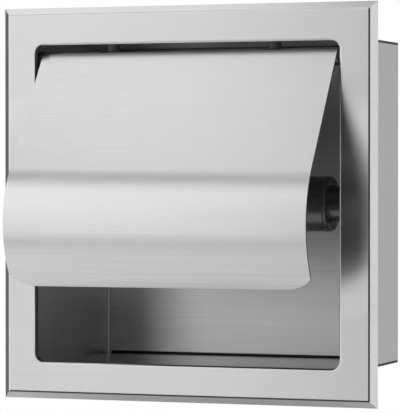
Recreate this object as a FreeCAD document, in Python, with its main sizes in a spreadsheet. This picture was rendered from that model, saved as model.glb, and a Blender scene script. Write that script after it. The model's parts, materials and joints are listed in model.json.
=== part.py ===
"""Recessed toilet roll holder: a steel wall box with a bevelled frame, a hinged hood and a sprung roller.

Millimetres. The origin is the centre of the wall opening on the wall's surface.
+X is to the right as the user sees it, +Y goes into the wall, +Z is up.
"""
import FreeCAD, Part
import math
import os
import Sketcher

# Driving dimensions: name, value, what it measures
DIMENSIONS = [
    ("recess_width", 131.4, "clear width between the side walls"),
    ("recess_height", 132.4, "clear height between floor and ceiling"),
    ("recess_depth", 76.0, "wall surface to the inner face of the back"),
    ("box_sheet", 1.0, "sheet of the recess box"),
    ("bend_radius", 0.3, "inside radius of the bends at the flanges and tongues"),
    ("corner_radius", 1.2, "inside radius of the bends between the back and the side walls"),
    ("box_flange", 6.0, "reach of the box's front flanges beyond the recess"),
    ("rear_gap", 1.05, "slot between the back's edge and the floor or ceiling"),
    ("rear_tongue", 9.0, "length of the floor's and ceiling's tongues behind the back"),
    ("tongue_inset", 0.2, "bend of the side wall to the end of a rear tongue"),
    ("tongue_relief", 0.02, "room beside a rear tongue"),
    ("window_side_lap", 0.8, "frame's lap over the recess at each side of its window"),
    ("window_end_lap", 1.3, "frame's lap over the recess above and below its window"),
    ("rim_width", 15.35, "window's edge to the frame's outer edge"),
    ("bevel_run", 2.85, "width of the frame's bevel, seen from the front"),
    ("frame_stand_off", 2.6, "wall surface to the frame's front face"),
    ("frame_sheet", 1.2, "sheet of the frame"),
    ("bevel_round", 1.0, "rounding between the front face and the bevel"),
    ("window_radius", 3.5, "corner radius of the frame's window"),
    ("window_round", 1.15, "rounding of the window's front edge"),
    ("cover_sheet", 1.0, "sheet of the hood"),
    ("cover_side_gap", 2.36, "hood's edge to the side wall"),
    ("cover_slope", 35.3, "slope of the hood's flat part from upright, degrees"),
    ("cover_straight", 57.0, "length of the hood's flat part"),
    ("cover_curve_radius", 38.0, "outside radius of the hood's curve"),
    ("cover_tuck_angle", 41.3, "how far the curve goes on past its foremost line, degrees"),
    ("cover_corner_reach", 11.6, "lower corners of the hood, along the lip"),
    ("cover_corner_rise", 6.0, "lower corners of the hood, up the side"),
    ("cover_corner_radius", 4.0, "tighter arc of those corners, at the side"),
    ("rod_radius", 2.6, "hinge rod"),
    ("running_fit", 0.05, "radial clearance of the hood and the spacers on the rod"),
    ("rod_chamfer", 0.4, "ends of the hinge rod and its caps"),
    ("tail_reach", 7.5, "hinge line to the tip of the hood's stop tails"),
    ("tail_width", 16.0, "one stop tail"),
    ("tail_slot", 1.0, "slot between a tail and the knuckle beside it"),
    ("tail_spacing", 70.0, "distance between the two tails' middles"),
    ("bumper_radius", 2.4, "rubber stop"),
    ("bumper_height", 3.75, "rubber stop below the ceiling"),
    ("bumper_stem_radius", 1.5, "stem of the stop in the ceiling's hole"),
    ("bumper_barb", 0.7, "overhang of the stem's barb"),
    ("bumper_barb_length", 2.0, "barb above the ceiling"),
    ("bumper_round", 0.4, "lower edge of the rubber stop"),
    ("stop_gap", 0.05, "tail to rubber stop at rest"),
    ("cap_wall", 0.5, "wall of the rod's end caps"),
    ("cap_length", 3.2, "rod's end cap"),
    ("cap_end", 0.8, "closed end of the cap"),
    ("cap_gap", 0.05, "cap to the bend of the box's front flange"),
    ("spacer_wall", 1.2, "wall of the hinge spacers"),
    ("side_play", 0.1, "spacer to the hood's edge"),
    ("roller_set_back", 15.0, "wall surface to the roller's axis"),
    ("roller_radius", 11.15, "outside of the roller"),
    ("tube_wall", 1.6, "wall of the roller's tube"),
    ("end_flange", 1.3, "thickness of the flanges on the tube's ends"),
    ("end_round", 0.9, "rounding of the roller's ends"),
    ("seam_chamfer", 0.3, "groove between the tube and its end flanges"),
    ("spigot_length", 6.0, "plug inside the tube"),
    ("spigot_wall", 1.5, "wall of the plug inside the tube"),
    ("spigot_fit", 0.05, "radial clearance of the plug in the tube"),
    ("end_web", 1.9, "wall behind the spring at the fixed end"),
    ("stub_radius", 7.35, "thinner ends of the roller"),
    ("stub_length", 7.6, "thinner ends outside the tube"),
    ("stub_wall", 1.5, "wall of the hollow stubs"),
    ("stub_end", 2.5, "closed end of the stubs"),
    ("stub_chamfer", 0.5, "edges of the stubs, pins and bushes"),
    ("slide_fit", 0.1, "radial clearance of the plunger in its ring"),
    ("collar_fit", 0.25, "radial clearance of the plunger's collars in the tube"),
    ("collar_length", 2.0, "collars of the plunger"),
    ("spare_travel", 3.6, "plunger's collar to the ring at rest"),
    ("pin_radius", 4.0, "roller's pins"),
    ("pin_length", 4.2, "roller's pins"),
    ("pin_fit", 0.1, "radial clearance of a pin in its bush"),
    ("axial_play", 0.2, "stub to bush"),
    ("socket_flange", 1.0, "flange of a bush inside the recess"),
    ("socket_flange_radius", 7.0, "flange of a bush"),
    ("socket_wall", 1.2, "wall of a bush"),
    ("socket_fit", 0.05, "radial clearance of a bush in the side wall"),
    ("socket_rim", 0.8, "snap rim of a bush outside the side wall"),
    ("socket_rim_length", 1.2, "snap rim of a bush"),
    ("socket_end", 0.8, "closed end of a bush"),
    ("spring_length", 26.0, "fitted length of the roller's spring"),
    ("spring_radius", 6.7, "middle of the spring's turns"),
    ("spring_wire", 1.0, "diameter of the spring's wire"),
    ("spring_turns", 6.0, "turns of the spring"),
    ("spring_seat_gap", 0.1, "spring's wire to its seats"),
    ("mount_hole_radius", 2.5, "screw holes in the side walls"),
    ("mount_hole_spacing", 50.0, "upper to lower screw hole"),
    ("mount_set_back", 28.0, "wall surface to the screw holes"),
]
VALUES = {name: value for name, value, _ in DIMENSIONS}
SAME_PLACE = 1e-4

doc = FreeCAD.newDocument("roll_holder")
sheet = doc.addObject("Spreadsheet::Sheet", "Sizes")
for row, (name, value, meaning) in enumerate(DIMENSIONS, start=1):
    sheet.set(f"A{row}", meaning)
    sheet.set(f"B{row}", str(value))
    sheet.setAlias(f"B{row}", name)
doc.recompute()


class Size:
    """A number together with the sheet expression that it comes from."""

    def __init__(self, value, text):
        self.value = float(value)
        self.text = text

    def join(self, other, sign, value, swap=False):
        other_text = other.text if isinstance(other, Size) else repr(float(other))
        first, second = (other_text, self.text) if swap else (self.text, other_text)
        return Size(value, f"({first} {sign} {second})")

    def __add__(self, other):
        return self.join(other, "+", self.value + number(other))

    def __radd__(self, other):
        return self.join(other, "+", number(other) + self.value, swap=True)

    def __sub__(self, other):
        return self.join(other, "-", self.value - number(other))

    def __rsub__(self, other):
        return self.join(other, "-", number(other) - self.value, swap=True)

    def __mul__(self, other):
        return self.join(other, "*", self.value * number(other))

    def __rmul__(self, other):
        return self.join(other, "*", number(other) * self.value, swap=True)

    def __truediv__(self, other):
        return self.join(other, "/", self.value / number(other))

    def __neg__(self):
        return self * -1


def number(value):
    return value.value if isinstance(value, Size) else float(value)


def size(name):
    return Size(VALUES[name], f"Sizes.{name}")


def sine(angle):
    return Size(math.sin(math.radians(angle.value)), f"sin({angle.text} * 1 deg)")


def cosine(angle):
    return Size(math.cos(math.radians(angle.value)), f"cos({angle.text} * 1 deg)")


def root(area):
    return Size(math.sqrt(area.value), f"sqrt({area.text})")


def bind(target, path, value):
    if isinstance(value, Size):
        target.setExpression(path, value.text)


# Places that several pieces share
box_sheet = size("box_sheet")
bend_inside = size("bend_radius")
bend_outside = bend_inside + box_sheet
corner_inside = size("corner_radius")
corner_outside = corner_inside + box_sheet
half_width = size("recess_width") / 2
half_height = size("recess_height") / 2
back_inside = size("recess_depth")
back_outside = back_inside + box_sheet
corner_x, corner_y = half_width - corner_inside, back_inside - corner_inside
tongue_x = corner_x - size("tongue_inset")
wall_outside = half_width + box_sheet
flange_front = size("frame_sheet") - size("frame_stand_off")
flange_back = flange_front + box_sheet

rod = size("rod_radius")
knuckle_inside = rod + size("running_fit")
knuckle_outside = knuckle_inside + size("cover_sheet")
cap_outside = rod + size("cap_wall")
hinge_y = flange_back + bend_inside + size("cap_gap") + cap_outside
hinge_z = half_height - size("bumper_height") - size("stop_gap") - knuckle_outside
cover_half = half_width - size("cover_side_gap")
tail_x = size("tail_spacing") / 2
bumper_y = hinge_y + size("tail_reach") - size("bumper_radius")

roller_y = size("roller_set_back")
tube_inside = size("roller_radius") - size("tube_wall")
stub_tip = half_width - size("socket_flange") - size("axial_play")
barrel_end = stub_tip - size("stub_length")
tube_end = barrel_end - size("end_flange")
spigot_tip = tube_end - size("spigot_length")
spigot_radius = tube_inside - size("spigot_fit")
pin_tip = stub_tip + size("pin_length")
stub_bore = size("stub_radius") - size("stub_wall")
stub_floor = stub_tip - size("stub_end")
spring_seat = barrel_end - size("end_web")
plunger_start = size("spring_length") - spring_seat
socket_outside = size("pin_radius") + size("pin_fit") + size("socket_wall")


def new_body(label, place=(0, 0, 0)):
    """An empty sub-part whose own origin stands at place."""
    body = doc.addObject("PartDesign::Body", label)
    body.Label = label
    for axis, value in zip("xyz", place):
        bind(body, f"Placement.Base.{axis}", value)
    return body


def new_sketch(body, plane, lift=0):
    """A sketch on one of the body's own planes, lifted along the plane's normal."""
    sketch = body.newObject("Sketcher::SketchObject", "Sketch")
    support = [item for item in body.Origin.OriginFeatures if item.Role == plane]
    sketch.AttachmentSupport = [(support[0], "")]
    sketch.MapMode = "FlatFace"
    bind(sketch, "AttachmentOffset.Base.z", lift)
    return sketch


def constrain(sketch, constraint, value):
    """Add a dimension to the sketch and tie it to the sheet."""
    index = sketch.addConstraint(constraint)
    bind(sketch, f"Constraints[{index}]", value)


def arc_between(start, end, radius):
    """The arc of under half a circle from start to end: it turns left, or right if radius is negative."""
    chord = end - start
    middle = (start + end) * 0.5
    rise = math.sqrt(radius**2 - (chord.Length / 2) ** 2)
    left = FreeCAD.Vector(-chord.y, chord.x, 0).normalize()
    centre = middle + left * math.copysign(rise, radius)
    first, last = (start, end) if radius > 0 else (end, start)
    angles = [math.atan2(point.y - centre.y, point.x - centre.x) for point in (first, last)]
    if angles[1] < angles[0]:
        angles[1] += 2 * math.pi
    circle = Part.Circle(centre, FreeCAD.Vector(0, 0, 1), abs(radius))
    return Part.ArcOfCircle(circle, *angles)


def draw_outline(sketch, points, mirror=False):
    """Draw a closed outline through points and dimension every corner from the sketch's origin.

    A point is (x, y), or (x, y, radius) where an arc ends on it. mirror swaps left and right.
    """
    side = -1 if mirror else 1
    xs = [side * point[0] for point in points]
    ys = [point[1] for point in points]
    radii = [side * point[2] if len(point) == 3 else None for point in points]
    corners = [FreeCAD.Vector(number(x), number(y), 0) for x, y in zip(xs, ys)]
    count = len(points)
    edges = []
    for start in range(count):
        end = (start + 1) % count
        if radii[end] is None:
            shape, tail, head = Part.LineSegment(corners[start], corners[end]), 1, 2
        else:
            shape = arc_between(corners[start], corners[end], number(radii[end]))
            tail, head = (1, 2) if number(radii[end]) > 0 else (2, 1)
        edges.append((sketch.addGeometry(shape, False), tail, head))
    for start, (edge, tail, head) in enumerate(edges):
        before = edges[start - 1]
        sketch.addConstraint(Sketcher.Constraint("Coincident", before[0], before[2], edge, tail))
        for kind, value in (("DistanceX", xs[start]), ("DistanceY", ys[start])):
            constrain(sketch, Sketcher.Constraint(kind, -1, 1, edge, tail, number(value)), value)
        radius = radii[(start + 1) % count]
        if radius is not None:
            radius = radius if number(radius) > 0 else -radius
            constrain(sketch, Sketcher.Constraint("Radius", edge, number(radius)), radius)


def draw_box(sketch, low, high):
    draw_outline(sketch, [low, (high[0], low[1]), high, (low[0], high[1])])


def draw_circle(sketch, x, y, radius):
    circle = Part.Circle(FreeCAD.Vector(number(x), number(y), 0), FreeCAD.Vector(0, 0, 1), number(radius))
    edge = sketch.addGeometry(circle, False)
    for kind, value in (("DistanceX", x), ("DistanceY", y)):
        constrain(sketch, Sketcher.Constraint(kind, -1, 1, edge, 3, number(value)), value)
    constrain(sketch, Sketcher.Constraint("Radius", edge, number(radius)), radius)


def extrude(body, kind, sketch, length, both_ways=True):
    """Pad or pocket a sketch, by half the length to each side or by all of it along the normal."""
    feature = body.newObject(f"PartDesign::{kind}", kind)
    feature.Profile = sketch
    feature.SideType = "Symmetric" if both_ways else "One side"
    bind(feature, "Length", length)
    doc.recompute()
    return feature


def loft(body, kind, sections):
    feature = body.newObject(f"PartDesign::{kind}", kind)
    feature.Profile = sections[0]
    feature.Sections = sections[1:]
    feature.Ruled = True
    doc.recompute()
    return feature


def round_edges(body, base, radius, wanted):
    """Fillet the edges of the base feature that the test picks by their middle."""
    edges = enumerate(base.Shape.Edges, start=1)
    names = [f"Edge{index}" for index, edge in edges if wanted(edge.valueAt(sum(edge.ParameterRange) / 2))]
    fillet = body.newObject("PartDesign::Fillet", "Fillet")
    fillet.Base = (base, names)
    bind(fillet, "Radius", radius)
    doc.recompute()
    return fillet


def turned(label, points, place, upright=False, mirror=False):
    """A turned piece: points are (along, radius) about X or, where upright, (radius, up) about Z."""
    body = new_body(label, place)
    sketch = new_sketch(body, "XZ_Plane" if upright else "XY_Plane")
    draw_outline(sketch, points, mirror)
    turn = body.newObject("PartDesign::Revolution", "Revolution")
    turn.Profile = sketch
    turn.ReferenceAxis = (sketch, ["V_Axis" if upright else "H_Axis"])
    turn.Angle = 360
    doc.recompute()
    return body


def make_face_frame():
    """Pressed tray with a bevelled edge all round and a round-cornered window over the recess."""
    body = new_body("face_frame")
    rise, run, thick = size("frame_stand_off"), size("bevel_run"), size("frame_sheet")
    window_x = half_width - size("window_side_lap")
    window_z = half_height - size("window_end_lap")
    outer_x, outer_z = window_x + size("rim_width"), window_z + size("rim_width")
    across_bevel = thick * root(rise * rise + run * run) / rise
    inner_rise = rise - thick

    def level(lift, inset):
        sketch = new_sketch(body, "XZ_Plane", lift)
        reach_x, reach_z = outer_x - inset, outer_z - inset
        draw_box(sketch, (-reach_x, -reach_z), (reach_x, reach_z))
        return sketch

    loft(body, "AdditiveLoft", [level(0, 0), level(rise, run)])
    hollow_inset = across_bevel + run * inner_rise / rise
    loft(body, "SubtractiveLoft", [level(0, across_bevel), level(inner_rise, hollow_inset)])

    window = new_sketch(body, "XZ_Plane")
    radius = size("window_radius")
    flat_x, flat_z = window_x - radius, window_z - radius
    draw_outline(window, [
        (flat_x, -window_z), (window_x, -flat_z, radius), (window_x, flat_z), (flat_x, window_z, radius),
        (-flat_x, window_z), (-window_x, flat_z, radius), (-window_x, -flat_z), (-flat_x, -window_z, radius),
    ])
    cut = extrude(body, "Pocket", window, 4 * rise)

    half_rim = size("rim_width") / 2

    def on_front(middle):
        return abs(middle.y + rise.value) < SAME_PLACE

    def near_window(middle):
        return max(abs(middle.x) - window_x.value, abs(middle.z) - window_z.value) < half_rim.value

    def at_window(middle):
        return on_front(middle) and near_window(middle)

    def at_bevel(middle):
        return on_front(middle) and not near_window(middle)

    softened = round_edges(body, cut, size("bevel_round"), at_bevel)
    round_edges(body, softened, size("window_round"), at_window)
    return body


def make_box_wrap():
    """Left wall, back and right wall in one bent sheet, with front flanges turned outwards."""
    body = new_body("box_wrap")
    flange_tip = half_width + size("box_flange")
    right = [
        (corner_x, back_inside),
        (half_width, corner_y, -corner_inside),
        (half_width, flange_front + bend_outside),
        (half_width + bend_outside, flange_front, bend_outside),
        (flange_tip, flange_front),
        (flange_tip, flange_back),
        (half_width + bend_outside, flange_back),
        (wall_outside, flange_front + bend_outside, -bend_inside),
        (wall_outside, corner_y),
        (corner_x, back_outside, corner_outside),
    ]
    # the left half repeats the right one backwards, so each arc's radius moves to its other end
    left = []
    for index, point in enumerate(reversed(right)):
        after = right[len(right) - index] if index else ()
        left.append((-point[0], point[1], *after[2:]))
    plan = new_sketch(body, "XY_Plane")
    draw_outline(plan, right + left)
    extrude(body, "Pad", plan, size("recess_height"))

    # the back stops short of the floor and the ceiling, to clear the bends of their tongues
    notch = new_sketch(body, "XZ_Plane", -back_inside)
    notch_x = tongue_x + size("tongue_relief")
    for side in (1, -1):
        draw_box(notch, (-notch_x, side * half_height), (notch_x, side * (half_height - size("rear_gap"))))
    extrude(body, "Pocket", notch, 4 * box_sheet)

    # hinge rod, roller bushes and fixing screws, through both side walls
    holes = new_sketch(body, "YZ_Plane")
    draw_circle(holes, hinge_y, hinge_z, knuckle_inside)
    draw_circle(holes, roller_y, 0, socket_outside + size("socket_fit"))
    for side in (1, -1):
        draw_circle(holes, size("mount_set_back"), side * size("mount_hole_spacing") / 2,
                    size("mount_hole_radius"))
    extrude(body, "Pocket", holes, 4 * half_width)
    return body


def make_plate(label, side, with_bumper_holes):
    """Ceiling (side 1) or floor (side -1): a flange behind the frame in front, a tongue behind the back."""
    body = new_body(label)
    profile = new_sketch(body, "YZ_Plane")
    flange_tip = half_height + size("box_flange")
    tongue_tip = half_height - size("rear_tongue")
    bend_y = back_outside - bend_inside
    upper = [
        (flange_front, flange_tip),
        (flange_front, half_height + bend_outside),
        (flange_front + bend_outside, half_height, bend_outside),
        (bend_y, half_height),
        (back_outside, half_height - bend_inside, -bend_inside),
        (back_outside, tongue_tip),
        (back_outside + box_sheet, tongue_tip),
        (back_outside + box_sheet, half_height - bend_inside),
        (bend_y, half_height + box_sheet, bend_outside),
        (flange_front + bend_outside, half_height + box_sheet),
        (flange_back, half_height + bend_outside, -bend_inside),
        (flange_back, flange_tip),
    ]
    draw_outline(profile, [(y, side * z, *(side * radius for radius in arc)) for y, z, *arc in upper])
    extrude(body, "Pad", profile, 2 * wall_outside)

    # beside the tongue the plate ends over the back, with its corners rounded like the box's bends
    beside_tongue = new_sketch(body, "XY_Plane")
    past_side, past_back = 2 * wall_outside, back_outside + 2 * box_sheet
    side_y = bend_y - corner_outside
    for mirror in (False, True):
        draw_outline(beside_tongue, [
            (tongue_x, bend_y), (corner_x, bend_y), (wall_outside, side_y, -corner_outside),
            (past_side, side_y), (past_side, past_back), (tongue_x, past_back),
        ], mirror)
    extrude(body, "Pocket", beside_tongue, 4 * half_height)

    if with_bumper_holes:
        holes = new_sketch(body, "XY_Plane")
        for end in (1, -1):
            draw_circle(holes, end * tail_x, bumper_y, size("bumper_stem_radius"))
        extrude(body, "Pocket", holes, 4 * half_height)
    return body


def make_cover():
    """Hood: a flat slope and a curve in one sheet, rolled round the rod, with two tails that stop it."""
    body = new_body("cover", (0, hinge_y, hinge_z))
    sheet_thick, curve = size("cover_sheet"), size("cover_curve_radius")
    slope_sin, slope_cos = sine(size("cover_slope")), cosine(size("cover_slope"))
    tuck_sin, tuck_cos = sine(size("cover_tuck_angle")), cosine(size("cover_tuck_angle"))

    def on_slope(offset, along):
        """Offset outwards from the hinge line, and along down the slope."""
        return (-(offset * slope_cos) - along * slope_sin, offset * slope_sin - along * slope_cos)

    centre_y, centre_z = on_slope(knuckle_outside - curve, size("cover_straight"))

    def on_lip(radius):
        return (centre_y - radius * tuck_cos, centre_z - radius * tuck_sin)

    inner_curve = curve - sheet_thick
    profile = new_sketch(body, "YZ_Plane")
    draw_outline(profile, [
        (*on_slope(knuckle_outside, 0), knuckle_outside),
        on_slope(knuckle_outside, size("cover_straight")),
        (*on_lip(curve), curve),
        on_lip(inner_curve),
        (*on_slope(knuckle_inside, size("cover_straight")), -inner_curve),
        on_slope(knuckle_inside, 0),
        (0, knuckle_inside, -knuckle_inside),
        (knuckle_inside, 0, -knuckle_inside),
        (0, -knuckle_inside, -knuckle_inside),
        (0, -knuckle_outside),
        (knuckle_outside, 0, knuckle_outside),
        (0, knuckle_outside, knuckle_outside),
    ])
    extrude(body, "Pad", profile, 2 * cover_half)

    # where a tail is, the sheet isn't rolled on past the rod's top but runs straight back
    gaps = new_sketch(body, "XY_Plane")
    half_gap = size("tail_width") / 2 + size("tail_slot")
    for side in (1, -1):
        draw_box(gaps, (side * tail_x - half_gap, 0), (side * tail_x + half_gap, 2 * knuckle_outside))
    extrude(body, "Pocket", gaps, 4 * knuckle_outside)
    tails = new_sketch(body, "XY_Plane", knuckle_inside)
    half_tail = size("tail_width") / 2
    for side in (1, -1):
        draw_box(tails, (side * tail_x - half_tail, 0), (side * tail_x + half_tail, size("tail_reach")))
    extrude(body, "Pad", tails, sheet_thick, both_ways=False)

    # lower corners: a tight arc at the side runs into a wide one at the lip
    corners = new_sketch(body, "XZ_Plane")
    reach, rise, tight = size("cover_corner_reach"), size("cover_corner_rise"), size("cover_corner_radius")
    beyond = size("cover_side_gap")
    lip_z = on_lip(curve)[1]
    across = reach - tight
    wide = (across * across + rise * rise - tight * tight) / (2 * (rise - tight))
    joint_x = across + tight * across / (wide - tight)
    joint_z = tight * (wide - rise) / (wide - tight)
    lip_end = cover_half - reach
    for mirror in (False, True):
        draw_outline(corners, [
            (lip_end, lip_z - beyond), (cover_half + beyond, lip_z - beyond),
            (cover_half + beyond, lip_z + rise), (cover_half, lip_z + rise),
            (lip_end + joint_x, lip_z + rise - joint_z, -tight), (lip_end, lip_z, -wide),
        ], mirror)
    extrude(body, "Pocket", corners, 4 * curve)
    return body


def make_hinge():
    """The rod through both side walls, with a spacer inside and a push-on cap outside each of them."""
    hinge = (0, hinge_y, hinge_z)
    bevel = size("rod_chamfer")
    rod_tip = wall_outside + size("cap_length") - size("cap_end")
    made = [turned("hinge_rod", [
        (-rod_tip, 0), (-rod_tip, rod - bevel), (bevel - rod_tip, rod),
        (rod_tip - bevel, rod), (rod_tip, rod - bevel), (rod_tip, 0),
    ], hinge)]
    cap_tip = wall_outside + size("cap_length")
    spacer_start = cover_half + size("side_play")
    spacer_outside = rod + size("spacer_wall")
    for name, mirror in (("left", True), ("right", False)):
        made.append(turned(f"rod_cap_{name}", [
            (wall_outside, rod), (rod_tip, rod), (rod_tip, 0), (cap_tip, 0),
            (cap_tip, cap_outside - bevel), (cap_tip - bevel, cap_outside), (wall_outside, cap_outside),
        ], hinge, mirror=mirror))
        made.append(turned(f"hinge_spacer_{name}", [
            (spacer_start, knuckle_inside), (half_width, knuckle_inside), (half_width, spacer_outside),
            (spacer_start + bevel, spacer_outside), (spacer_start, spacer_outside - bevel),
        ], hinge, mirror=mirror))
    return made


def make_bumpers():
    """Rubber stops pushed into the ceiling, one over each of the hood's tails."""
    radius, stem = size("bumper_radius"), size("bumper_stem_radius")
    foot = half_height - size("bumper_height")
    plate_top = half_height + box_sheet
    soft = size("bumper_round")
    points = [
        (0, foot), (radius - soft, foot), (radius, foot + soft, soft), (radius, half_height),
        (stem, half_height), (stem, plate_top), (stem + size("bumper_barb"), plate_top),
        (stem, plate_top + size("bumper_barb_length")), (0, plate_top + size("bumper_barb_length")),
    ]
    places = (("left", -tail_x), ("right", tail_x))
    return [turned(f"cover_bumper_{name}", points, (x, bumper_y, 0), upright=True) for name, x in places]


def make_roller():
    """Tube with a fixed plug on the left and a ring on the right that guides the sprung plunger."""
    axis = (0, roller_y, 0)
    radius, stub, pin = size("roller_radius"), size("stub_radius"), size("pin_radius")
    groove, soft, bevel = size("seam_chamfer"), size("end_round"), size("stub_chamfer")
    guide = stub + size("slide_fit")
    collar, collar_long = tube_inside - size("collar_fit"), size("collar_length")
    stop_end = spigot_tip - size("spare_travel")
    stop_start = stop_end - collar_long
    spigot_bore = spigot_radius - size("spigot_wall")

    flange = [
        (spigot_tip, spigot_radius), (tube_end, spigot_radius), (tube_end, radius - groove),
        (tube_end + groove, radius), (barrel_end - soft, radius), (barrel_end, radius - soft, -soft),
    ]
    stub_and_pin = [
        (stub_tip - bevel, stub), (stub_tip, stub - bevel), (stub_tip, pin),
        (pin_tip - bevel, pin), (pin_tip, pin - bevel), (pin_tip, 0),
        (stub_floor, 0), (stub_floor, stub_bore),
    ]
    tube = turned("roller_tube", [
        (-tube_end, tube_inside), (-tube_end, radius - groove), (groove - tube_end, radius),
        (tube_end - groove, radius), (tube_end, radius - groove), (tube_end, tube_inside),
    ], axis)
    plug = turned("roller_fixed_end", flange + [(barrel_end, stub)] + stub_and_pin + [
        (spring_seat, stub_bore), (spring_seat, spigot_bore), (spigot_tip, spigot_bore),
    ], axis, mirror=True)
    ring = turned("roller_end_ring", flange + [(barrel_end, guide), (spigot_tip, guide)], axis)
    plunger = turned("roller_plunger", [
        (plunger_start, stub_bore), (plunger_start, collar), (plunger_start + collar_long, collar),
        (plunger_start + collar_long, stub), (stop_start, stub), (stop_start, collar),
        (stop_end, collar), (stop_end, stub),
    ] + stub_and_pin, axis)
    return [tube, plug, ring, plunger]


def make_sockets():
    """Flanged bushes snapped into the side walls, blind on the outside, for the roller's pins."""
    axis = (0, roller_y, 0)
    bevel = size("stub_chamfer")
    inside, flange = half_width - size("socket_flange"), size("socket_flange_radius")
    bore = size("pin_radius") + size("pin_fit")
    bore_end = pin_tip + size("axial_play")
    tip = bore_end + size("socket_end")
    rim, rim_end = socket_outside + size("socket_rim"), wall_outside + size("socket_rim_length")
    points = [
        (inside, bore), (inside, flange - bevel), (inside + bevel, flange), (half_width, flange),
        (half_width, socket_outside), (wall_outside, socket_outside), (wall_outside, rim),
        (rim_end, socket_outside), (tip - bevel, socket_outside), (tip, socket_outside - bevel),
        (tip, 0), (bore_end, 0), (bore_end, bore),
    ]
    places = (("left", True), ("right", False))
    return [turned(f"roller_socket_{name}", points, axis, mirror=mirror) for name, mirror in places]


def biarc(start, start_way, end, end_way):
    """Two arcs from start to end that leave and arrive along the given unit directions."""
    span = end - start
    ways = start_way + end_way
    spread = 2 * (1 - start_way.dot(end_way))
    across = span.dot(ways)
    reach = (math.sqrt(across**2 + spread * span.dot(span)) - across) / spread
    knees = (start + start_way * reach, end - end_way * reach)
    joint = (knees[0] + knees[1]) * 0.5
    arcs = []
    for first, knee, last in ((start, knees[0], joint), (joint, knees[1], end)):
        middle = (first + last) * 0.5
        half_chord = (last - first).Length / 2
        height = (knee - middle).Length
        sagitta = half_chord * (math.hypot(half_chord, height) - half_chord) / height
        arcs.append(Part.Arc(first, middle + (knee - middle) * (sagitta / height), last))
    return arcs


def make_spring():
    """Compression spring between the fixed plug and the plunger, an even helix about X."""
    coil, wire = sheet.get("spring_radius"), sheet.get("spring_wire") / 2
    turns = sheet.get("spring_turns")
    clear = wire + sheet.get("spring_seat_gap")
    start = clear - spring_seat.value
    rise = (sheet.get("spring_length") - 2 * clear) / turns
    quarter_turns = round(4 * turns)

    def along(quarters):
        angle = quarters * math.pi / 2
        return FreeCAD.Vector(start + rise * quarters / 4, coil * math.cos(angle), coil * math.sin(angle))

    def heading(quarters):
        angle = quarters * math.pi / 2
        slope = rise / (2 * math.pi)
        return FreeCAD.Vector(slope, -coil * math.sin(angle), coil * math.cos(angle)).normalize()

    arcs = []
    for quarter in range(quarter_turns):
        arcs += biarc(along(quarter), heading(quarter), along(quarter + 1), heading(quarter + 1))
    path = Part.Wire([arc.toShape() for arc in arcs])
    section = Part.Wire([Part.Circle(along(0), heading(0), wire).toShape()])
    gap = rise * coil / math.hypot(coil, rise / (2 * math.pi)) - 2 * wire
    print(f"roller_spring: least gap between turns {gap:.2f} mm")
    spring = doc.addObject("Part::Feature", "roller_spring")
    spring.Label = "roller_spring"
    spring.Shape = path.makePipeShell([section], True, False)
    bind(spring, "Placement.Base.y", roller_y)
    return spring


sub_parts = [
    make_face_frame(),
    make_box_wrap(),
    make_plate("top_plate", 1, with_bumper_holes=True),
    make_plate("bottom_plate", -1, with_bumper_holes=False),
    make_cover(),
    *make_hinge(),
    *make_bumpers(),
    *make_roller(),
    *make_sockets(),
    make_spring(),
]
doc.recompute()

for item in doc.Objects:
    if "Invalid" in item.State or "Error" in item.State:
        raise RuntimeError(f"{item.Label} failed: {item.State}")
for part in sub_parts:
    if part.Shape.isNull() or not part.Shape.isValid() or len(part.Shape.Solids) != 1:
        raise RuntimeError(f"{part.Label} is not one sound solid")

os.makedirs("parts", exist_ok=True)
for part in sub_parts:
    part.Shape.exportStep(f"parts/{part.Label}.step")
    print(f"{part.Label}: {part.Shape.Volume:.1f} mm3")
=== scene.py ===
import json
import math

import bmesh
import bpy
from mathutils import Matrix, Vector

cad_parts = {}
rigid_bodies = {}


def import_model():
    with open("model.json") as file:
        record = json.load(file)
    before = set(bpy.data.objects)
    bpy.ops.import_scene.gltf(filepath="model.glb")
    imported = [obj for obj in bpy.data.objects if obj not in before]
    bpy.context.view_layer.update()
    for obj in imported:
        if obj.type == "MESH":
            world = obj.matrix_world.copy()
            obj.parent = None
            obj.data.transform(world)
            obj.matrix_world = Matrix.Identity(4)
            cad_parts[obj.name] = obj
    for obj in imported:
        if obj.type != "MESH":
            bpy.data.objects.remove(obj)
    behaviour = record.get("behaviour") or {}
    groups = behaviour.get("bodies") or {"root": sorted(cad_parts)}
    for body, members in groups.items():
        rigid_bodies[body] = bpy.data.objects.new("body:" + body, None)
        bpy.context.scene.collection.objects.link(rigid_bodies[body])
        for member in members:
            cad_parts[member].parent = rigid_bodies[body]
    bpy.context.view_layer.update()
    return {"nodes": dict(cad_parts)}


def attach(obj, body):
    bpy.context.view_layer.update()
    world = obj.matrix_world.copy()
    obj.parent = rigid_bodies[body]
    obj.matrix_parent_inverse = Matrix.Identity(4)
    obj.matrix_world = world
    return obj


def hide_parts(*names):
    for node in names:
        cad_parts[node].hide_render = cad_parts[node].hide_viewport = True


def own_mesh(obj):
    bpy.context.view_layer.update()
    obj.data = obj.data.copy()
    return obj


for leftover in list(bpy.data.objects):
    bpy.data.objects.remove(leftover)
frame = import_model()

# Sockets of Blender's Mix node when it mixes colours
MIX_FACTOR, MIX_FIRST, MIX_SECOND, MIX_RESULT = 0, 6, 7, 2


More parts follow.
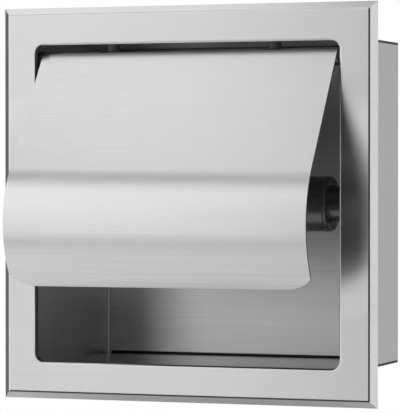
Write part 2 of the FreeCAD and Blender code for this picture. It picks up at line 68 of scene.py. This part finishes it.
class Shade:
    """A shader socket that takes part in Python arithmetic by adding Math nodes."""

    def __init__(self, finish, socket):
        self.finish = finish
        self.socket = socket

    def math(self, operation, *values):
        sockets = dict(enumerate(values))
        return self.finish.node("ShaderNodeMath", {"operation": operation}, sockets)

    def __add__(self, other):
        return self.math("ADD", self, other)

    def __radd__(self, other):
        return self.math("ADD", other, self)

    def __sub__(self, other):
        return self.math("SUBTRACT", self, other)

    def __rsub__(self, other):
        return self.math("SUBTRACT", other, self)

    def __mul__(self, other):
        return self.math("MULTIPLY", self, other)

    def __rmul__(self, other):
        return self.math("MULTIPLY", other, self)

    def __gt__(self, other):
        return self.math("GREATER_THAN", self, other)

    def __lt__(self, other):
        return self.math("LESS_THAN", self, other)

    def __abs__(self):
        return self.math("ABSOLUTE", self)

    def highest(self, other):
        return self.math("MAXIMUM", self, other)

    def lowest(self, other):
        return self.math("MINIMUM", self, other)


class Finish:
    """A node tree: a material's, unless the tree of a world is given."""

    def __init__(self, name, tree=None):
        self.material = None
        if tree is None:
            self.material = bpy.data.materials.new(name)
            self.material.use_nodes = True
            tree = self.material.node_tree
        self.tree = tree
        self.tree.nodes.clear()

    def node(self, kind, settings=None, sockets=None, out=0):
        """Add a node, give it its settings and then its sockets' values or links, and return one output."""
        made = self.tree.nodes.new(kind)
        for name, value in (settings or {}).items():
            setattr(made, name, value)
        for name, value in (sockets or {}).items():
            if isinstance(value, Shade):
                self.tree.links.new(value.socket, made.inputs[name])
            else:
                made.inputs[name].default_value = value
        return Shade(self, made.outputs[out]) if made.outputs else None

    def stretched_noise(self, cycles, detail=2.0, roughness=0.5):
        """Noise on Object coordinates with so many cycles a metre along X, Y and Z."""
        place = self.node("ShaderNodeTexCoord", out="Object")
        scaled = self.node("ShaderNodeMapping", {}, {"Vector": place, "Scale": cycles})
        sockets = {"Vector": scaled, "Scale": 1.0, "Detail": detail, "Roughness": roughness}
        return self.node("ShaderNodeTexNoise", {}, sockets)

    def even_noise(self, cycles, detail=2.0, roughness=0.5):
        """Noise with the same cycles a metre every way."""
        return self.stretched_noise((cycles, cycles, cycles), detail, roughness)

    def mix(self, factor, first, second):
        sockets = {MIX_FACTOR: factor, MIX_FIRST: first, MIX_SECOND: second}
        return self.node("ShaderNodeMix", {"data_type": "RGBA"}, sockets, MIX_RESULT)

    def bump(self, height, depth):
        sockets = {"Height": height, "Distance": depth, "Strength": 1.0}
        return self.node("ShaderNodeBump", {}, sockets)

    def normal_part(self, axis):
        """One part of the surface's own direction, as X, Y or Z."""
        normal = self.node("ShaderNodeNewGeometry", out="Normal")
        return self.node("ShaderNodeSeparateXYZ", {}, {"Vector": normal}, axis)

    def place_part(self, axis):
        """One part of the place on the object, in metres, as X, Y or Z."""
        place = self.node("ShaderNodeTexCoord", out="Object")
        return self.node("ShaderNodeSeparateXYZ", {}, {"Vector": place}, axis)

    def surface(self, sockets):
        shader = self.node("ShaderNodeBsdfPrincipled", {}, sockets)
        self.node("ShaderNodeOutputMaterial", {}, {"Surface": shader})
        return self.material


def grey(level):
    return (level, level, level, 1.0)


# Where the steel differs and where shade is painted on it: parts of the surface's direction, and places in
# metres
END_FACING = 0.95
BEND_SIDEWAYS, BEND_FORWARDS = 0.82, -0.12
SEAM_DEPTH, SLOT_HEIGHT = 0.0755, 0.0640
BORDER_START = 0.0700
RIM_SIDEWAYS = 0.2
FOLD_LEAST, FOLD_MOST = 0.12, 0.60
BEVEL_FORWARDS = -0.9
LEAN_SLOPE = 0.10
LEAN_START, LEAN_END = 0.0630, 0.0769
LEAN_MIDDLE, LEAN_HALF = -0.002, 0.045


def cut_edge_shade(finish):
    """Painted shade: the sheared ends of a sheet that face left and right, coloured dark as a shadow line."""
    return abs(finish.normal_part("X")) > END_FACING


def edge_and_bend_shade(finish):
    """Painted shade: the sheared ends that face up and down, and the hollow side of each rear bend next to its
    side wall, coloured dark.
    """
    sideways = abs(finish.normal_part("X")) > BEND_SIDEWAYS
    bend = sideways * (finish.normal_part("Y") < BEND_FORWARDS)
    return bend.highest(abs(finish.normal_part("Z")) > END_FACING)


def edge_and_slot_shade(finish):
    """Painted shade: the sheared ends, and the bends that close the slots along the back, coloured dark as the
    shade in the slots.
    """
    behind = finish.place_part("Y") > SEAM_DEPTH
    in_slot = abs(finish.place_part("Z")) > SLOT_HEIGHT
    return cut_edge_shade(finish).highest(behind * in_slot)


def fold_shade_and_rim_reflection(finish):
    """Painted shade: dark lines on the folds between face and bevel, at the right and at the bottom, and a
    painted dark reflection of the hood on the window's left rim.
    """
    right = finish.normal_part("X")
    tilt = right.highest(0.0 - finish.normal_part("Z"))
    outwards = abs(finish.place_part("X")).highest(abs(finish.place_part("Z")))
    border = outwards > BORDER_START
    rim = (right > RIM_SIDEWAYS) * (1.0 - border)
    return rim.highest((tilt > FOLD_LEAST) * (tilt < FOLD_MOST) * border)


def back_wall(finish):
    """How far a surface faces forwards."""
    return (0.0 - finish.normal_part("Y")).highest(0.0)


def underside(finish):
    """How far a surface faces down."""
    return (0.0 - finish.normal_part("Z")).highest(0.0)


def polished_bevel(finish):
    """The frame's sloping border, burnished by the press."""
    return finish.normal_part("Y") > BEVEL_FORWARDS


def leaning_strips(finish):
    """How far the face's side strips stand forward as they lean towards the window beside the hood."""
    outwards = abs(finish.place_part("X")).highest(LEAN_START).lowest(LEAN_END) - LEAN_START
    away = (finish.place_part("Z") - LEAN_MIDDLE) * (1.0 / LEAN_HALF)
    return LEAN_SLOPE * outwards * (1.0 - away * away).highest(0.0)


# Brushed sheet: cycles a metre along the brushing and across it, and the noise's detail
HAIRLINES = (22.0, 5200.0, 3.0)
SCRATCHES = (7.0, 1350.0, 2.0)
BANDS = (3.0, 160.0, 1.0)
BRUSHED_ROUGHNESS = 0.55
CLOUD_CYCLES = 14.0
HAIRLINE_SHARE, SCRATCH_SHARE, BAND_SHARE = 0.5, 0.35, 0.15
NOISE_MIDDLE = 0.5
STREAK_GAIN, EXTRA_STREAK_GAIN = 5.0, 30.0
POLISHED_DIMMING, POLISHED_SMOOTHING = 0.15, 0.12
GRAIN_ROUGHENING, CLOUD_ROUGHENING, DARK_ROUGHENING = 0.10, 0.05, 0.2
DARK_METAL_LOSS = 0.7


def satin_steel(
    name, light, contrast, rough, wave, coarse, painted_shade_part, painted_shade_level,
    along="X", across="YZ", polished_part=None, lean=None, streaky_part=None,
):
    """Stainless sheet brushed in one direction: long fine scratches, slow cloudy changes of sheen, and painted
    shade, a darker colour, on the parts that the given mask picks.
    """
    finish = Finish(name)

    def streaks(length_cycles, width_cycles, detail):
        cycles = [length_cycles if way in along else width_cycles if way in across else 0.0 for way in "XYZ"]
        return finish.stretched_noise(cycles, detail, BRUSHED_ROUGHNESS)

    hairlines = streaks(*HAIRLINES)
    scratches = streaks(*SCRATCHES)
    bands = streaks(*BANDS)
    clouds = finish.even_noise(CLOUD_CYCLES)
    grain = HAIRLINE_SHARE * hairlines + SCRATCH_SHARE * scratches + BAND_SHARE * bands
    uneven, cloudy = grain - NOISE_MIDDLE, clouds - NOISE_MIDDLE
    # Painted shade: the mask picks where the colour is pulled down to the given dark level in place of real
    # shade.
    dark = painted_shade_part(finish)
    height = wave * (1.0 - coarse) * hairlines + wave * coarse * scratches
    if lean:
        height = height + lean(finish)
    polished = polished_part(finish) if polished_part else 0.0
    streaky = streaky_part(finish) if streaky_part else 0.0
    streak = uneven * (STREAK_GAIN * contrast + EXTRA_STREAK_GAIN * contrast * streaky)
    shade = (1.0 + streak) * (light - POLISHED_DIMMING * light * polished)
    sheen_change = GRAIN_ROUGHENING * uneven + CLOUD_ROUGHENING * cloudy
    return finish.surface({
        "Base Color": shade + dark * (painted_shade_level - shade),
        "Metallic": 1.0 - DARK_METAL_LOSS * dark,
        "Roughness": rough + sheen_change + DARK_ROUGHENING * dark - POLISHED_SMOOTHING * polished,
        "Normal": finish.bump(height, 1.0),
    })


# Rod and wire: cycles a metre of the drawing marks and of the dulling, and their strengths
DRAWN_CYCLES = (2600.0, 300.0, 300.0)
DRAWN_DARK, DRAWN_LIGHT = 0.9, 1.08
DRAWN_DEPTH = 0.00001
DULL_CYCLES, DULL_DETAIL = 160.0, 3.0
BRIGHT_ROUGHNESS, DULL_ROUGHENING = 0.2, 0.2


def bright_steel(name, level):
    """Drawn rod or wire: faint rings and a little dulling."""
    finish = Finish(name)
    drawn = finish.stretched_noise(DRAWN_CYCLES)
    dull = finish.even_noise(DULL_CYCLES, DULL_DETAIL)
    return finish.surface({
        "Base Color": finish.mix(drawn, grey(level * DRAWN_DARK), grey(level * DRAWN_LIGHT)),
        "Metallic": 1.0,
        "Roughness": BRIGHT_ROUGHNESS + DULL_ROUGHENING * dull,
        "Normal": finish.bump(drawn, DRAWN_DEPTH),
    })


# Mouldings: the grain's noise, the slow changes, and the share of each
MOULD_DETAIL, MOULD_ROUGHNESS = 3.0, 0.6
SLOW_CYCLES = 70.0
SLOW_SHARE, GRAIN_SHARE = 0.6, 0.4
SLOW_SHEEN, GRAIN_SHEEN = 0.16, 0.10


def moulded(name, dark, light, rough, sheen, grain_cycles, grain_depth, density=1.5):
    """Moulded plastic or rubber: an even fine grain with slow changes of sheen."""
    finish = Finish(name)
    grain = finish.even_noise(grain_cycles, MOULD_DETAIL, MOULD_ROUGHNESS)
    slow = finish.even_noise(SLOW_CYCLES)
    sheen_change = SLOW_SHEEN * (slow - NOISE_MIDDLE) + GRAIN_SHEEN * (grain - NOISE_MIDDLE)
    return finish.surface({
        "Base Color": finish.mix(SLOW_SHARE * slow + GRAIN_SHARE * grain, grey(dark), grey(light)),
        "Roughness": rough + sheen_change,
        "IOR": density,
        "Specular IOR Level": sheen,
        "Normal": finish.bump(grain, grain_depth),
    })


steel_frame = satin_steel(
    "steel_frame", light=0.88, contrast=0.035, rough=0.33, wave=0.00002, coarse=0.06,
    painted_shade_part=fold_shade_and_rim_reflection, painted_shade_level=0.06, polished_part=polished_bevel, lean=leaning_strips,
)
steel_wrap = satin_steel(
    "steel_wrap", light=0.84, contrast=0.0156, rough=0.38, wave=0.000015, coarse=0.1,
    painted_shade_part=edge_and_bend_shade, painted_shade_level=0.02, along="XY", across="Z", streaky_part=back_wall,
)
steel_plate = satin_steel(
    "steel_plate", light=0.78, contrast=0.06, rough=0.25, wave=0.00001, coarse=0.1,
    painted_shade_part=edge_and_slot_shade, painted_shade_level=0.02,
)
# The top plate: the plate's steel painted darker, as painted shade in the gap above the hood.
ceiling_painted_shade = satin_steel(
    "ceiling_painted_shade", light=0.53, contrast=0.06, rough=0.25, wave=0.00001, coarse=0.1,
    painted_shade_part=edge_and_slot_shade, painted_shade_level=0.02,
)
steel_hood = satin_steel(
    "steel_hood", light=0.825, contrast=0.03, rough=0.25, wave=0.00003, coarse=0.15,
    painted_shade_part=cut_edge_shade, painted_shade_level=0.03, streaky_part=underside,
)
# The hood's inside: the same steel painted much darker, as painted shade inside the recess.
hood_inside_painted_shade = satin_steel(
    "hood_inside_painted_shade", light=0.22, contrast=0.03, rough=0.22, wave=0.00002, coarse=0.2,
    painted_shade_part=cut_edge_shade, painted_shade_level=0.03,
)
steel_rod = bright_steel("steel_rod", 0.66)
spring_wire = bright_steel("spring_wire", 0.45)
black_plastic = moulded(
    "black_plastic", dark=0.068, light=0.090, rough=0.28, sheen=1.0,
    grain_cycles=4200.0, grain_depth=0.00002, density=1.62,
)
black_nylon = moulded(
    "black_nylon", dark=0.020, light=0.034, rough=0.45, sheen=0.5,
    grain_cycles=3000.0, grain_depth=0.00001,
)
grey_rubber = moulded(
    "grey_rubber", dark=0.15, light=0.20, rough=0.75, sheen=0.4,
    grain_cycles=2600.0, grain_depth=0.00003,
)

finishes = {
    "face_frame": steel_frame,
    "box_wrap": steel_wrap,
    "top_plate": ceiling_painted_shade,
    "bottom_plate": steel_plate,
    "cover": steel_hood,
    "hinge_rod": steel_rod,
    "rod_cap_left": steel_rod,
    "rod_cap_right": steel_rod,
    "hinge_spacer_left": black_nylon,
    "hinge_spacer_right": black_nylon,
    "cover_bumper_left": grey_rubber,
    "cover_bumper_right": grey_rubber,
    "roller_tube": black_plastic,
    "roller_fixed_end": black_plastic,
    "roller_end_ring": black_plastic,
    "roller_plunger": black_plastic,
    "roller_socket_left": black_plastic,
    "roller_socket_right": black_plastic,
    "roller_spring": spring_wire,
}
for node, finish in finishes.items():
    frame["nodes"][node].material_slots[0].material = finish

MERGE_DISTANCE = 1e-6


def link(name, data):
    made = bpy.data.objects.new(name, data)
    bpy.context.scene.collection.objects.link(made)
    return made


def formed_mesh(name, form, mesh_finishes):
    """Turn a finished form into a mesh with its materials."""
    mesh = bpy.data.meshes.new(name)
    form.to_mesh(mesh)
    form.free()
    for finish in mesh_finishes:
        mesh.materials.append(finish)
    return mesh


def merged_copy(node):
    """A CAD piece's form in the shared frame, with the vertices that lie on each other made one."""
    form = bmesh.new()
    form.from_mesh(node.data)
    bmesh.ops.transform(form, matrix=node.matrix_world, verts=form.verts)
    bmesh.ops.remove_doubles(form, verts=form.verts, dist=MERGE_DISTANCE)
    for face in form.faces:
        face.smooth = True
    return form


def dressed_piece(name, form, piece_finishes, body, node):
    """A piece of its own that stands for a CAD node and moves with its body."""
    made = link(name, formed_mesh(name, form, piece_finishes))
    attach(made, body)
    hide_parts(node)
    return made


# The hood again with its sheared edges eased, and its inside painted darker than its outside as painted shade
EASED_EDGE, EASED_STEPS = 0.00032, 3
ROUND_PROFILE = 0.5
SHARP_ANGLE = math.radians(50.0)
FLAT_ANGLE = math.radians(0.2)
INWARD = 0.2
OUTSIDE, INSIDE = 0, 1
FACE_WEIGHT = 100
hood_form = merged_copy(frame["nodes"]["cover"])
bmesh.ops.dissolve_limit(
    hood_form, angle_limit=FLAT_ANGLE, verts=hood_form.verts, edges=hood_form.edges,
)
sharp_edges = [edge for edge in hood_form.edges if edge.calc_face_angle(0.0) > SHARP_ANGLE]
bmesh.ops.bevel(
    hood_form, geom=sharp_edges, offset=EASED_EDGE, offset_type="OFFSET", segments=EASED_STEPS,
    profile=ROUND_PROFILE, affect="EDGES", clamp_overlap=True, material=-1,
)
for face in hood_form.faces:
    face.smooth = True
    face.material_index = INSIDE if face.normal.y > INWARD else OUTSIDE
eased_hood = dressed_piece("eased_hood", hood_form, (steel_hood, hood_inside_painted_shade), "hood", "cover")
even = eased_hood.modifiers.new("even_normals", "WEIGHTED_NORMAL")
even.weight = FACE_WEIGHT

# The spring again, as a piece with its own mesh that moves with the roller
spring_form = merged_copy(frame["nodes"]["roller_spring"])
coil_spring = dressed_piece("coil_spring", spring_form, (spring_wire,), "roller", "roller_spring")
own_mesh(coil_spring)

# The studio: light levels, then lamps, screens and floor, in metres and degrees round the object
ROOM_LEVEL = 0.55
WHITE = grey(1.0)
MIDDLE = (0, 0, 0)
CLOTH_CYCLES = 60.0
CLOTH_DARK, CLOTH_LIGHT = 0.95, 1.05
CLOTH_ROUGHNESS, CLOTH_SHEEN = 0.9, 0.1
FLOOR_HEIGHT, FLOOR_RADIUS, FLOOR_SEGMENTS = -0.20, 0.7, 96
SENSOR_WIDTH, FOCAL_LENGTH = 36.0, 236.3
CAMERA_PLACE = (0.3839, -1.0214, 0.0129)
CAMERA_TARGET = (0.0049, 0.0019, -0.0008)


def aim(thing, place, target):
    thing.location = place
    thing.rotation_euler = (Vector(target) - Vector(place)).to_track_quat("-Z", "Y").to_euler()


def around(azimuth, elevation, distance):
    """A point round the object: azimuth from the front towards the right, elevation upwards, in degrees."""
    turn, rise = math.radians(azimuth), math.radians(elevation)
    flat = distance * math.cos(rise)
    return (flat * math.sin(turn), -flat * math.cos(turn), distance * math.sin(rise))


def soft_lamp(name, azimuth, elevation, distance, width, height, radiance):
    lamp = bpy.data.lights.new(name, "AREA")
    lamp.shape = "RECTANGLE"
    lamp.size, lamp.size_y = width, height
    lamp.energy = radiance * math.pi * width * height
    made = link(name, lamp)
    made.visible_camera = False
    made.visible_glossy = False
    aim(made, around(azimuth, elevation, distance), MIDDLE)


def dark_screen(name, azimuth, elevation, distance, width, height, finish):
    """A studio flag: a screen out of the picture that the steel shows as a darker part of the room."""
    form = bmesh.new()
    bmesh.ops.create_grid(form, x_segments=1, y_segments=1, size=0.5)
    bmesh.ops.scale(form, vec=(width, height, 1.0), verts=form.verts)
    made = link(name, formed_mesh(name, form, (finish,)))
    made.visible_camera = False
    aim(made, around(azimuth, elevation, distance), MIDDLE)


def plain_cloth(name, level):
    finish = Finish(name)
    weave = finish.even_noise(CLOTH_CYCLES)
    return finish.surface({
        "Base Color": finish.mix(weave, grey(level * CLOTH_DARK), grey(level * CLOTH_LIGHT)),
        "Roughness": CLOTH_ROUGHNESS,
        "Specular IOR Level": CLOTH_SHEEN,
    })


# The room lights things at its own level, and looks white where it is seen or mirrored
room = bpy.data.worlds.new("room")
bpy.context.scene.world = room
room.use_nodes = True
sky = Finish("room", room.node_tree)
seen = [sky.node("ShaderNodeLightPath", out=f"Is {kind} Ray") for kind in ("Camera", "Glossy", "Transmission")]
shows = seen[0].highest(seen[1]).highest(seen[2])
strength = ROOM_LEVEL + (1 - ROOM_LEVEL) * shows
glow = sky.node("ShaderNodeBackground", {}, {"Color": WHITE, "Strength": strength})
sky.node("ShaderNodeOutputWorld", {}, {"Surface": glow})

# Name, azimuth, elevation, distance, width, height, radiance
for lamp in (
    ("key_lamp", -48.0, 28.0, 2.2, 1.4, 1.4, 1.3),
    ("top_lamp", 90.0, 80.0, 2.0, 0.6, 0.6, 18.0),
    ("side_lamp", 78.0, 8.0, 2.2, 1.2, 1.6, 0.9),
    ("low_lamp", -62.0, 10.0, 0.46, 0.3, 0.3, 3.5),
):
    soft_lamp(*lamp)

black_cloth = plain_cloth("black_cloth", 0.12)
dark_cloth = plain_cloth("dark_cloth", 0.22)
grey_cloth = plain_cloth("grey_cloth", 0.41)
pale_cloth = plain_cloth("pale_cloth", 0.64)
# Name, azimuth, elevation, distance, width, height, cloth
for screen in (
    ("screen_front", 22.8, 0.0, 1.3, 1.82, 2.38, black_cloth),
    ("screen_top", 90.0, 77.0, 2.2, 3.0, 2.3, grey_cloth),
    ("screen_high", -40.0, 51.0, 2.4, 2.4, 0.46, pale_cloth),
    ("screen_right", 95.5, 0.0, 2.4, 1.79, 2.2, dark_cloth),
    ("screen_left", -41.0, -11.0, 1.3, 0.40, 0.9, grey_cloth),
    ("screen_back_left", -135.0, 0.0, 2.4, 4.0, 3.0, dark_cloth),
    ("screen_back_right", 162.0, 0.0, 2.4, 1.8, 3.0, pale_cloth),
):
    dark_screen(*screen)

floor_form = bmesh.new()
bmesh.ops.create_circle(floor_form, cap_ends=True, radius=FLOOR_RADIUS, segments=FLOOR_SEGMENTS)
bmesh.ops.translate(floor_form, vec=(0, 0, FLOOR_HEIGHT), verts=floor_form.verts)
link("floor", formed_mesh("floor", floor_form, (plain_cloth("floor", 0.60),)))

lens = bpy.data.cameras.new("camera")
lens.sensor_width = SENSOR_WIDTH
lens.lens = FOCAL_LENGTH
camera = link("camera", lens)
aim(camera, CAMERA_PLACE, CAMERA_TARGET)
bpy.context.scene.camera = camera
bpy.context.scene.view_settings.view_transform = "Standard"
